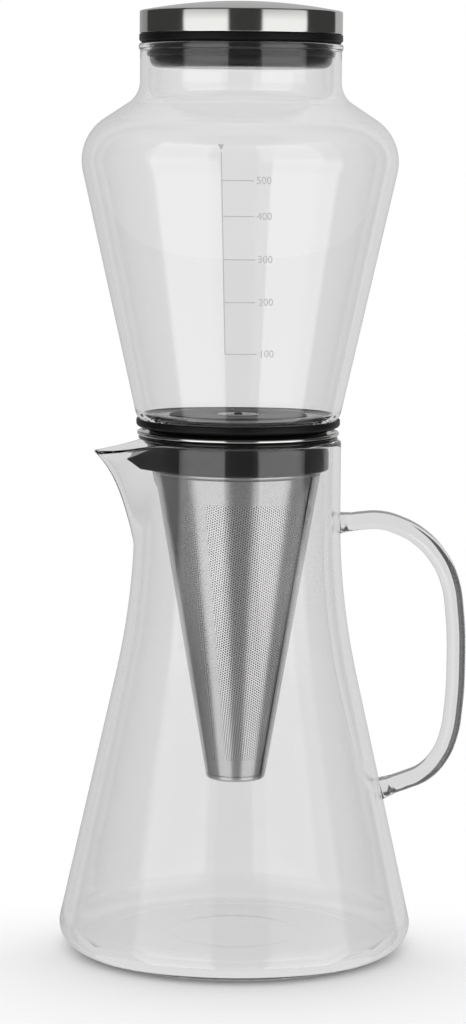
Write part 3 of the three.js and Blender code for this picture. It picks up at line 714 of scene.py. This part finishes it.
# Painted highlight: the metal between the holes is painted brighter than the plain sheet, standing for the
# light their edges catch; the holes are painted in the dark of their shade
tone = blend_colours(holes, open_here, linear("cfcfcf"), linear("f2f2f2"))
tone = blend_colours(holes, hole, tone, linear("161616"))
tone = blend_colours(holes, seam_line, tone, linear("5a5a5a"))
holes.links.new(tone, finish.inputs["Base Color"])
# Where shade is painted, in the holes and along the seam, the sheet is dull and not metallic
dark = maths(holes, "MAXIMUM", hole, seam_line)
metallic = maths(holes, "MULTIPLY", maths(holes, "SUBTRACT", 1, dark), SATIN_METALLIC)
holes.links.new(metallic, finish.inputs["Metallic"])
satin = ramp(holes, mottling(holes, 60), 0, 1, 0.2, 0.28)
holes.links.new(maths(holes, "MAXIMUM", satin, dark), finish.inputs["Roughness"])


def cone_r(level):
    return FILTER_END_R + (level - cone_low) * filter_slope


cone = turned(
    (
        (FILTER_END_R - FILTER_SHEET, cone_low),
        (FILTER_END_R, cone_low),
        *((cone_r(holder_low - down) + out, holder_low - down) for down, out in COLLAR),
        (FILTER_MOUTH_R, cone_high),
        (FILTER_MOUTH_R, lip_z - GAP),
        (FILTER_MOUTH_R - FILTER_SHEET, lip_z - GAP),
        (FILTER_MOUTH_R - FILTER_SHEET, cone_high),
    ),
    loop=True,
    longest=6,
)
# The outer sheet's end, which stands proud along its cut edge and settles flush over the lap
lap = bmesh.new()
bmesh.ops.create_grid(lap, x_segments=8, y_segments=64, size=0.5)
seam_length = (on_sheet(*SEAM_TOP) - seam_end).length - SEAM_STOPS
for vert in lap.verts:
    share = vert.co.x + 0.5
    flat = seam_end + seam_way * (vert.co.y + 0.5) * seam_length + seam_aside * share * SEAM_LAP
    turn = math.atan2(flat.x, flat.y) / math.sin(lean)
    radius = flat.length * math.sin(lean) + lerp(SEAM_PROUD, -SEAM_SUNK, share)
    level = apex_z + flat.length * math.cos(lean)
    vert.co = Vector((radius * math.sin(turn), -radius * math.cos(turn), level)) * MM
for vert in extrude(lap, lap.faces[:]):
    shrink = 1 - (FILTER_SHEET / 2 + SEAM_PROUD) * MM / Vector(vert.co[:2]).length
    vert.co.x *= shrink
    vert.co.y *= shrink
bmesh.ops.recalc_face_normals(lap, faces=lap.faces)
join(cone, lap)
piece("filter_sheet", cone, filter_steel, "filter_steel", "filter", "filter_cone")

end_r = FILTER_END_R - FILTER_CAP * filter_slope
end_cap = turned(
    (
        (0, end_low),
        (end_r, end_low, FILTER_CAP_ROUND),
        (FILTER_END_R, end_high),
        (FILTER_END_R - FILTER_SHEET, end_high),
        (end_r - FILTER_SHEET, end_low + FILTER_SHEET, FILTER_CAP_INNER_ROUND),
        (0, end_low + FILTER_SHEET),
    ),
    steps=96,
)
piece("filter_end_cap", end_cap, filter_steel, "filter_steel", "filter", "filter_bottom")

# Polished stainless steel, pressed and buffed: a bright mirror with a little haze
polished_steel, tree, finish = new_material("stainless steel, polished")
finish.inputs["Base Color"].default_value = linear("c6c6c4")
finish.inputs["Metallic"].default_value = 1.0
haze = ramp(tree, mottling(tree, 40, 4), 0, 1, 0.06, 0.13)
tree.links.new(haze, finish.inputs["Roughness"])

bead_top = lip_z + 2 * LIP_BEAD_R
collar_r = FILTER_MOUTH_R - FILTER_SHEET - GAP
lip = turned(
    (
        (collar_r - FILTER_SHEET, lip_z - LIP_COLLAR),
        (collar_r, lip_z - LIP_COLLAR),
        (collar_r, lip_z),
        (LIP_R, lip_z, LIP_BEAD_R),
        (LIP_R, bead_top, LIP_BEAD_R),
        (LIP_R - 2 * LIP_BEAD_R, bead_top, LIP_BEAD_R),
        (LIP_R - 2 * LIP_BEAD_R, lip_z + FILTER_SHEET),
        (collar_r - FILTER_SHEET, lip_z + FILTER_SHEET, FILTER_SHEET),
    ),
    steps=160,
    loop=True,
)
piece("filter_lip", lip, polished_steel, "polished_steel", "filter", "filter_rim")

# Chamber seat: a black silicone ring with a floor. The glass chamber stands in its pocket, and its spigot
# centres it in the filter's mouth.
SEAT_R, SEAT_ROUND, SEAT_RIM_ROUND = 36.8, 1.3, 0.6
SEAT_NECK_R = 32.1
SEAT_NECK, SEAT_FLARE = 0.6, 2.4  # heights above the neck's lower end
SEAT_HOLE_R = 5.8
SPIGOT_R, SPIGOT_WALL, SPIGOT_ROUND = 28.7, 2, 1
POCKET_STEPS = 10
CHAMBER_FOOT_R, CHAMBER_FOOT_ROUND = 36.15, 6
BELLY_R, BELLY_Z, BELLY_ROUND = 59, 293.5, 18

# Silicone rubber, moulded: black, with a dull sheen
black_silicone, tree, finish = new_material("silicone rubber, moulded, black")
finish.inputs["Base Color"].default_value = linear("101011")
finish.inputs["Specular IOR Level"].default_value = 0.14
dull = mottling(tree, 700)
tree.links.new(ramp(tree, dull, 0, 1, 0.34, 0.5), finish.inputs["Roughness"])
bumps = add_node(tree, "ShaderNodeBump", {"Height": dull, "Strength": 0.08, "Distance": 0.05 * MM})
tree.links.new(bumps.outputs[0], finish.inputs["Normal"])

seat_low, seat_top = span("chamber_seat")
glass_low, glass_top = span("chamber_glass")
neck_z = lip_z + FILTER_SHEET + GAP
wall_slope = (BELLY_R - CHAMBER_FOOT_R) / (BELLY_Z - glass_low)
foot_reach = CHAMBER_FOOT_ROUND * math.tan((math.pi / 2 - math.atan(wall_slope)) / 2)
foot_x, foot_z = CHAMBER_FOOT_R - foot_reach, glass_low + CHAMBER_FOOT_ROUND
pocket_r = CHAMBER_FOOT_ROUND + GAP
pocket_rim = -math.asin((foot_z - seat_top) / pocket_r)
pocket_turns = [lerp(pocket_rim, -math.pi / 2, k / POCKET_STEPS) for k in range(POCKET_STEPS + 1)]
seat = turned(
    (
        (SEAT_HOLE_R, neck_z + SEAT_NECK),
        (SPIGOT_R - SPIGOT_WALL, neck_z + SEAT_NECK),
        (SPIGOT_R - SPIGOT_WALL, seat_low),
        (SPIGOT_R, seat_low, SPIGOT_ROUND),
        (SPIGOT_R, neck_z),
        (SEAT_NECK_R, neck_z),
        (SEAT_NECK_R, neck_z + SEAT_NECK, EDGE),
        (SEAT_R, neck_z + SEAT_FLARE, SEAT_ROUND),
        (SEAT_R, seat_top, SEAT_RIM_ROUND),
        *((foot_x + pocket_r * math.cos(turn), foot_z + pocket_r * math.sin(turn)) for turn in pocket_turns),
        (SEAT_HOLE_R, glass_low - GAP),
    ),
    steps=160,
    loop=True,
)
piece("seat_ring", seat, black_silicone, "black_silicone", "chamber", "chamber_seat")

# Water chamber: a tapered glass vessel with a rounded shoulder and a beaded neck. Its floor is pierced
# for the drip valve.
CHAMBER_WALL = 2
CHAMBER_FLOOR, CHAMBER_FLOOR_ROUND = 2.6, 4
NECK_R, NECK_Z, NECK_ROUND = 36, 308.6, 9
CHAMBER_RIM_ROUND = 1
CHAMBER_BEAD, CHAMBER_BEAD_ROUND = 0.5, 0.6
CHAMBER_BEAD_LOW, CHAMBER_BEAD_LOW_ROUND = 2.6, 0.8  # where it starts, down from the rim
CHAMBER_BEAD_FULL = 0.7  # where it is full, as a share of that
LEAST_ROUND = 0.2


def offset(corners, depth):
    """The same corners moved to the left of their direction by a depth, with roundings to match."""
    places = [Vector(corner[:2]) for corner in corners]
    ways = [(b - a).normalized() for a, b in zip(places, places[1:])]
    moved = []
    for at, before, after, corner in zip(places[1:-1], ways, ways[1:], corners[1:-1]):
        left = Vector((-before.y - after.y, before.x + after.x)).normalized()
        reach = depth / math.cos(before.angle(after) / 2)
        at = at + left * reach
        bend = max(corner[2] - math.copysign(depth, before.cross(after)), LEAST_ROUND)
        moved.append((at.x, at.y, bend))
    return moved


outside = (
    (SEAT_HOLE_R, glass_low),
    (CHAMBER_FOOT_R, glass_low, CHAMBER_FOOT_ROUND),
    (BELLY_R, BELLY_Z, BELLY_ROUND),
    (NECK_R, NECK_Z, NECK_ROUND),
    (NECK_R, glass_top),
)
foot, belly, neck = offset(outside, CHAMBER_WALL)
inner_slope = (belly[0] - foot[0]) / (belly[1] - foot[1])
floor_top = glass_low + CHAMBER_FLOOR
chamber = turned(
    (
        *outside[:-1],
        (NECK_R, glass_top - CHAMBER_BEAD_LOW, CHAMBER_BEAD_LOW_ROUND),
        (NECK_R + CHAMBER_BEAD, glass_top - CHAMBER_BEAD_LOW * CHAMBER_BEAD_FULL, CHAMBER_BEAD_ROUND),
        (NECK_R + CHAMBER_BEAD, glass_top, CHAMBER_RIM_ROUND),
        (NECK_R - CHAMBER_WALL, glass_top, CHAMBER_RIM_ROUND),
        neck,
        belly,
        (foot[0] + (floor_top - foot[1]) * inner_slope, floor_top, CHAMBER_FLOOR_ROUND),
        (SEAT_HOLE_R, floor_top),
    ),
    steps=192,
    loop=True,
    longest=4,
)
piece("chamber_wall", chamber, clear_glass, "clear_glass", "chamber", "chamber_glass")

# Volume scale: fine grey ceramic ink printed on the chamber's front, as a ladder of ticks with plain
# numbers beside them.
SCALE_TURN = -6.5  # degrees from the front to the ladder's upright
SCALE_LEVELS = {100: 219.1, 200: 237.3, 300: 252.2, 400: 267.1, 500: 279.4}
SCALE_TOP = 289.1
TICK_LENGTH = 11
LINE_WIDTH = 0.34
LONGEST_FLAT = 1.2  # in a line that follows the glass
NUMBER_GAP = 0.8
NUMBER_HEIGHT = 2.5
NUMBER_SHARE = 0.7  # of the font's size
ARROW_HALF, ARROW_FROM, ARROW_TO = 1.1, 0.6, 2.6  # half its width, and heights above the scale
INK_THICK = 0.03

# Ceramic ink, screen-printed and fired: flat light grey
grey_ink, tree, finish = new_material("ceramic ink, fired, light grey")
finish.inputs["Roughness"].default_value = 0.55
fleck = blend_colours(tree, mottling(tree, 900), linear("b4b4b4"), linear("c2c2c2"))
tree.links.new(fleck, finish.inputs["Base Color"])


def bar(mesh, left, right, low, high):
    """Adds a flat bar, cut fine enough to follow the glass."""
    cuts = max(int((right - left) / LONGEST_FLAT), 1)
    made = bmesh.ops.create_grid(mesh, x_segments=cuts, y_segments=1, size=0.5)["verts"]
    bmesh.ops.scale(mesh, vec=(right - left, high - low, 1), verts=made)
    bmesh.ops.translate(mesh, vec=((left + right) / 2, (low + high) / 2, 0), verts=made)


ink = bmesh.new()
half = LINE_WIDTH / 2
bar(ink, -half, half, SCALE_LEVELS[100] - half, SCALE_TOP)
for number, level in SCALE_LEVELS.items():
    bar(ink, half, TICK_LENGTH, level - half, level + half)
    label = bpy.data.curves.new("label", "FONT")
    label.body = str(number)
    label.size = NUMBER_HEIGHT / NUMBER_SHARE
    label.align_y = "CENTER"
    label.offset_x = TICK_LENGTH + NUMBER_GAP
    label.offset_y = level
    written = add_object("label", label)
    flat = mesh_of(written)
    ink.from_mesh(flat)
    bpy.data.objects.remove(written)
    bpy.data.meshes.remove(flat)
    bpy.data.curves.remove(label)
# A small filled triangle points at the level that the chamber is filled to
arrow = ((0, ARROW_FROM), (ARROW_HALF, ARROW_TO), (-ARROW_HALF, ARROW_TO))
ink.faces.new(ink.verts.new((x, SCALE_TOP + up, 0)) for x, up in arrow)
for vert in ink.verts:
    aside, level = vert.co.x, vert.co.y
    radius = CHAMBER_FOOT_R + (level - glass_low) * wall_slope + INK_THICK
    turn = math.radians(SCALE_TURN) + aside / radius
    vert.co = Vector((radius * math.sin(turn), -radius * math.cos(turn), level)) * MM
bmesh.ops.recalc_face_normals(ink, faces=ink.faces)
for face in ink.faces:
    if face.normal.y > 0:
        face.normal_flip()
piece("volume_scale", ink, grey_ink, "clear_glass", "chamber")

# Drip valve: a black moulded body clamped through the chamber's floor and the seat with a nut. Its flat head
# is let into a silicone pad. A fluted knob under it turns a steel needle in and out of the drip hole.
VALVE_SHANK_R = 5.5
VALVE_BORE_R = 3.3
VALVE_HOLE_R = 0.8
VALVE_THROAT = 2.5
VALVE_HEAD, VALVE_HEAD_R, VALVE_HEAD_ROUND = 0.6, 7.6, 0.25
VALVE_NUB, VALVE_NUB_R, VALVE_NUB_FOOT_ROUND = 0.7, 1.5, 0.1
VALVE_PAD, VALVE_PAD_R, VALVE_PAD_ROUND = 0.8, 25, 0.5
PAD_GAP = 0.1  # above and below the pad
SHANK_GAP = 0.15
NUT_FLATS = 8.7
KNOB_R, KNOB_ROUND = 10, 0.8
KNOB_FLUTES, KNOB_FLUTE_DEPTH = 12, 0.06
KNOB_RING = 0.8  # what lies beyond this share of its radius is fluted
KNOB_BORE_R, KNOB_SCREW_R, KNOB_WELL_R = 2.15, 1.15, 2.75
KNOB_WELL, KNOB_BORE_END = 1.6, 2  # heights above its lower face

valve_low = span("valve_body")[0]
pad_low = floor_top + PAD_GAP
pad_top = pad_low + VALVE_PAD
head_top = pad_top + PAD_GAP
head_low = head_top - VALVE_HEAD
valve_top = head_top + VALVE_NUB
body = turned(
    (
        (VALVE_BORE_R, valve_low),
        (VALVE_SHANK_R, valve_low, EDGE),
        (VALVE_SHANK_R, head_low),
        (VALVE_HEAD_R, head_low),
        (VALVE_HEAD_R, head_top, VALVE_HEAD_ROUND),
        (VALVE_NUB_R, head_top, VALVE_NUB_FOOT_ROUND),
        (VALVE_NUB_R, valve_top, EDGE),
        (VALVE_HOLE_R, valve_top),
        (VALVE_HOLE_R, head_top - VALVE_THROAT),
        (VALVE_BORE_R, head_top - VALVE_THROAT - VALVE_BORE_R + VALVE_HOLE_R),
    ),
    steps=64,
    loop=True,
)
piece("valve_stem", body, black_plastic, "black_plastic", "chamber", "valve_body")

pad = turned(
    (
        (VALVE_SHANK_R + SHANK_GAP, pad_low),
        (VALVE_PAD_R, pad_low),
        (VALVE_PAD_R, pad_top, VALVE_PAD_ROUND),
        (VALVE_HEAD_R + EDGE, pad_top, EDGE / 2),
        (VALVE_HEAD_R + EDGE, head_low - PAD_GAP),
        (VALVE_SHANK_R + SHANK_GAP, head_low - PAD_GAP),
    ),
    steps=160,
    loop=True,
)
piece("valve_pad", pad, black_silicone, "black_silicone", "chamber", "valve_inlet_washer")

nut_low, nut_top = span("valve_nut")
nut = bmesh.new()
for segments, radius in ((6, NUT_FLATS / math.cos(math.pi / 6)), (48, VALVE_SHANK_R + SHANK_GAP)):
    ring = bmesh.ops.create_circle(nut, segments=segments, radius=radius * MM)["verts"]
    bmesh.ops.translate(nut, vec=(0, 0, nut_low * MM), verts=ring)
bmesh.ops.triangle_fill(nut, edges=nut.edges[:], use_beauty=True)
lift = Vector((0, 0, (nut_top - nut_low) * MM))
bmesh.ops.translate(nut, verts=extrude(nut, nut.faces[:]), vec=lift)
bmesh.ops.recalc_face_normals(nut, faces=nut.faces)
# Its long and sharp edges are those of its six sides
corners = [e for e in nut.edges if e.is_manifold and e.calc_face_angle() > 0.5 and e.calc_length() > 2 * MM]
bevel(nut, corners, EDGE, 2)
piece("valve_clamp_nut", nut, black_plastic, "black_plastic", "chamber", "valve_nut")

knob_low, knob_top = span("valve_knob")
knob = turned(
    (
        (KNOB_BORE_R, knob_top),
        (KNOB_BORE_R, knob_low + KNOB_BORE_END),
        (KNOB_SCREW_R, knob_low + KNOB_BORE_END),
        (KNOB_SCREW_R, knob_low + KNOB_WELL),
        (KNOB_WELL_R, knob_low + KNOB_WELL),
        (KNOB_WELL_R, knob_low, EDGE),
        (KNOB_R, knob_low, KNOB_ROUND),
        (KNOB_R, knob_top, KNOB_ROUND),
    ),
    steps=144,
    loop=True,
)
for vert in knob.verts:
    flat = Vector(vert.co[:2])
    if flat.length > KNOB_R * KNOB_RING * MM:
        turn = math.atan2(flat.y, flat.x)
        squeeze = 1 - KNOB_FLUTE_DEPTH * (0.5 + 0.5 * math.cos(KNOB_FLUTES * turn))
        vert.co.x *= squeeze
        vert.co.y *= squeeze
piece("valve_hand_knob", knob, black_plastic, "black_plastic", "knob", "valve_knob")

for node, material in (
    ("valve_under_washer", black_silicone),
    ("valve_o_ring", black_silicone),
    ("valve_needle", polished_steel),
    ("valve_knob_screw", polished_steel),
):
    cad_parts[node].data.materials.clear()
    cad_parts[node].data.materials.append(material)

# Stopper: a hollow black plug with a silicone seal round it, under a domed cap of polished steel. A
# silicone gasket lies between the cap and the chamber's rim.
GASKET_R, GASKET_CHAMFER, GASKET_ROUND = 36.35, 0.8, 0.5
PLUG_R, PLUG_ROUND, PLUG_INNER_ROUND = 32.6, 3.2, 1
PLUG_WALL = 2.2
PLUG_LOWER = 0.4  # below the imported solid
PLUG_NECK, PLUG_HEAD_ROUND = 2.1, 0.4
GASKET_BORE = 1.9
SEAL_R, SEAL_ROUND = 33.7, 0.95
SEAL_GROOVE, SEAL_BORE = 1.3, 1.1
CAP_R, CAP_ROUND = 36.2, 0.7
CAP_WALL = 0.8
CAP_SIDE = 8
DOME_STEPS = 16

gasket_low, gasket_top = span("lid_gasket")
plug_low, plug_top = span("lid_plug")
plug_low -= PLUG_LOWER
seal_low, seal_top = span("lid_seal")
cap_low, cap_top = span("lid_cap")
gasket = turned(
    (
        (PLUG_R - GASKET_BORE, gasket_low),
        (GASKET_R - GASKET_CHAMFER, gasket_low, EDGE),
        (GASKET_R, gasket_low + GASKET_CHAMFER, GASKET_ROUND),
        (GASKET_R, gasket_top, EDGE),
        (PLUG_R - GASKET_BORE, gasket_top),
    ),
    loop=True,
)
piece("stopper_gasket", gasket, black_silicone, "black_silicone", "lid", "lid_gasket")
plug_neck_r = PLUG_R - PLUG_NECK
hollow_r = plug_neck_r - PLUG_WALL
head_r = CAP_R - CAP_WALL - GAP
plug = turned(
    (
        (0, plug_low),
        (PLUG_R, plug_low, PLUG_ROUND),
        (PLUG_R, seal_low - GAP, LEAST_ROUND),
        (PLUG_R - SEAL_GROOVE, seal_low - GAP),
        (PLUG_R - SEAL_GROOVE, seal_top + GAP),
        (PLUG_R, seal_top + GAP, LEAST_ROUND),
        (PLUG_R, gasket_low - GAP),
        (plug_neck_r, gasket_low - GAP),
        (plug_neck_r, cap_low),
        (head_r, cap_low),
        (head_r, plug_top, PLUG_HEAD_ROUND),
        (hollow_r, plug_top, EDGE),
        (hollow_r, plug_low + PLUG_WALL, PLUG_INNER_ROUND),
        (0, plug_low + PLUG_WALL),
    ),
)
piece("stopper_plug", plug, black_plastic, "black_plastic", "lid", "lid_plug")
seal = turned(
    (
        (PLUG_R - SEAL_BORE, seal_low),
        (SEAL_R, seal_low, SEAL_ROUND),
        (SEAL_R, seal_top, SEAL_ROUND),
        (PLUG_R - SEAL_BORE, seal_top),
    ),
    loop=True,
)
piece("stopper_seal", seal, black_silicone, "black_silicone", "lid", "lid_seal")

side_top = cap_low + CAP_SIDE


def dome(radius, top):
    """The cap's crown, from its middle outwards."""
    shares = [k / DOME_STEPS for k in range(DOME_STEPS + 1)]
    return [(radius * share, top - (cap_top - side_top) * share**2) for share in shares]


inner_r = CAP_R - CAP_WALL
cap = turned(
    (
        *dome(inner_r, cap_top - CAP_WALL),
        (inner_r, cap_low),
        (CAP_R, cap_low, EDGE),
        (CAP_R, side_top, CAP_ROUND),
        *reversed(dome(CAP_R, cap_top)[:-1]),
    ),
    steps=192,
)
piece("stopper_cap", cap, polished_steel, "polished_steel", "lid", "lid_cap")
